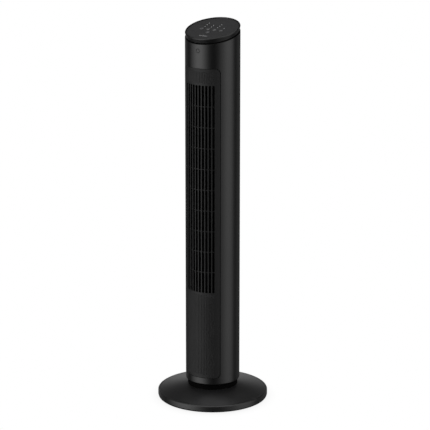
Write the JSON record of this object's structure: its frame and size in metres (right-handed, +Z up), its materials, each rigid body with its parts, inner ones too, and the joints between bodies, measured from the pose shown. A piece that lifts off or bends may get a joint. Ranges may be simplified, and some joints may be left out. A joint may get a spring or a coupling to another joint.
{
  "type": "tower fan",
  "caption": "Free-standing tower fan: a round slotted column with a slanted control panel that swings on a round weighted base.",
  "frame": {"origin": "centre of the base on the floor, under the oscillation axis", "axes": "+Z up along the column, -Y is the air outlet's side where the user stands, +X is the right hand of a user who faces the fan"},
  "size_m": [0.292, 0.292, 1.0164],
  "materials": {
    "housing": "satin black, finely textured",
    "dark_plastic": "matt black",
    "panel_face": "matt charcoal",
    "button": "matt grey",
    "nylon": "natural",
    "clear_plastic": "frosted",
    "board": "solder mask",
    "rubber": "matt",
    "steel": "zinc plated",
    "motor_steel": "plain",
    "iron": "raw",
    "bronze": "sintered"
  },
  "bodies": {
    "base": {"base_cover": "housing", "base_plate": "dark_plastic", "ballast_ring": "iron", "rubber_foot_1": "rubber", "rubber_foot_2": "rubber", "rubber_foot_3": "rubber", "rubber_foot_4": "rubber", "rubber_foot_5": "rubber", "rubber_foot_6": "rubber", "base_screw_1": "steel", "base_screw_2": "steel", "base_screw_3": "steel", "base_screw_4": "steel", "cord_gland": "rubber", "neck_ring": "dark_plastic", "slide_ring": "nylon", "pivot_post": "dark_plastic", "fixed_gear": "nylon", "post_nut": "steel"},
    "column": {"front_housing": "housing", "front_grille": "housing", "rear_grille": "housing", "handle_shell": "housing", "handle_cup": "dark_plastic", "column_floor": "dark_plastic", "duct_floor": "dark_plastic", "duct_roof": "dark_plastic", "volute_wall": "dark_plastic", "tongue_wall": "dark_plastic", "motor_housing": "motor_steel", "motor_stator": "iron", "motor_bracket": "steel", "motor_mount_1": "rubber", "motor_mount_2": "rubber", "motor_mount_3": "rubber", "bearing_holder": "rubber", "top_bearing": "bronze", "oscillation_motor": "motor_steel", "power_board": "board", "run_capacitor": "nylon", "sensor_cover": "dark_plastic", "signal_receiver": "dark_plastic", "wire_harness": "rubber", "top_cap": "housing", "control_panel": "panel_face", "light_guide": "clear_plastic", "switch_board": "board"},
    "impeller": {"impeller_wheel": "dark_plastic", "wheel_hub": "rubber", "motor_shaft": "steel", "motor_rotor": "motor_steel", "top_pin": "steel"},
    "drive_pinion": {"pinion": "nylon"},
    "power_key": {"button_power": "button"},
    "speed_key": {"button_speed": "button"},
    "mode_key": {"button_mode": "button"},
    "timer_key": {"button_timer": "button"},
    "swing_key": {"button_swing": "button"}
  },
  "joints": [
    {"name": "oscillation", "type": "hinge", "parent": "base", "child": "column", "pos_m": [0, 0, 0.053], "axis": [0, 0, 1], "range_deg": [-45, 45]},
    {"name": "impeller_spin", "type": "hinge", "parent": "column", "child": "impeller", "pos_m": [0, 0, 0.3], "axis": [0, 0, 1], "continuous": true},
    {"name": "pinion_spin", "type": "hinge", "parent": "column", "child": "drive_pinion", "pos_m": [-0.0392, 0, 0.061], "axis": [0, 0, 1], "continuous": true},
    {"name": "power_press", "type": "slide", "parent": "column", "child": "power_key", "axis": [0, 0.225, -0.9744], "range_m": [0, 0.0008], "stiffness_N_per_m": 800, "springref_m": -0.0005},
    {"name": "speed_press", "type": "slide", "parent": "column", "child": "speed_key", "axis": [0, 0.225, -0.9744], "range_m": [0, 0.0008], "stiffness_N_per_m": 800, "springref_m": -0.0005},
    {"name": "mode_press", "type": "slide", "parent": "column", "child": "mode_key", "axis": [0, 0.225, -0.9744], "range_m": [0, 0.0008], "stiffness_N_per_m": 800, "springref_m": -0.0005},
    {"name": "timer_press", "type": "slide", "parent": "column", "child": "timer_key", "axis": [0, 0.225, -0.9744], "range_m": [0, 0.0008], "stiffness_N_per_m": 800, "springref_m": -0.0005},
    {"name": "swing_press", "type": "slide", "parent": "column", "child": "swing_key", "axis": [0, 0.225, -0.9744], "range_m": [0, 0.0008], "stiffness_N_per_m": 800, "springref_m": -0.0005}
  ],
  "couplings": [
    {"joint": "pinion_spin", "follows": "oscillation", "ratio": 3.3333}
  ]
}
